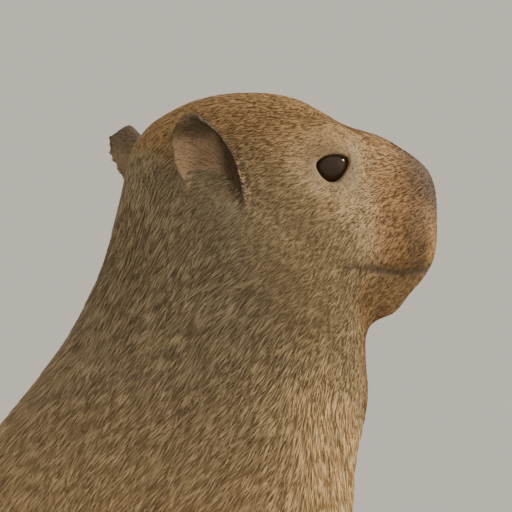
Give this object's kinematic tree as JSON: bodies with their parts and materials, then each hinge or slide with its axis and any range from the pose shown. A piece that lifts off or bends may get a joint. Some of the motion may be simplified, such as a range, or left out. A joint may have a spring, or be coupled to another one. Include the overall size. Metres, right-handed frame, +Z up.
{
  "type": "sitting young capybara, still life-size model",
  "caption": "Young capybara sitting upright on its haunches, forelegs straight, head turned slightly to its right; still life-size museum model.",
  "frame": {"origin": "on the floor, under the middle of the animal's bounding box", "axes": "+X the way the body faces, +Y the animal's left side, +Z up"},
  "size_m": [0.3624, 0.264, 0.44],
  "materials": {
    "coat": "short coarse reddish brown to grey-brown hair lying back along the body",
    "bare_skin": "dark thinly haired skin of the ears and feet",
    "eye": "wet dark brown eye",
    "claw": "blunt dark horn"
  },
  "bodies": {
    "root": {"claw_fore_left_1": "claw", "claw_fore_left_2": "claw", "claw_fore_left_3": "claw", "claw_fore_left_4": "claw", "claw_fore_right_1": "claw", "claw_fore_right_2": "claw", "claw_fore_right_3": "claw", "claw_fore_right_4": "claw", "claw_hind_left_1": "claw", "claw_hind_left_2": "claw", "claw_hind_left_3": "claw", "claw_hind_right_1": "claw", "claw_hind_right_2": "claw", "claw_hind_right_3": "claw", "ear_left": "bare_skin", "ear_right": "bare_skin", "eye_left": "eye", "eye_right": "eye", "forefoot_left": "bare_skin", "forefoot_right": "bare_skin", "foreleg_left": "coat", "foreleg_right": "coat", "head": "coat", "hindfoot_left": "bare_skin", "hindfoot_right": "bare_skin", "hindleg_left": "coat", "hindleg_right": "coat", "neck": "coat", "rump": "coat", "torso": "coat"}
  },
  "joints": []
}
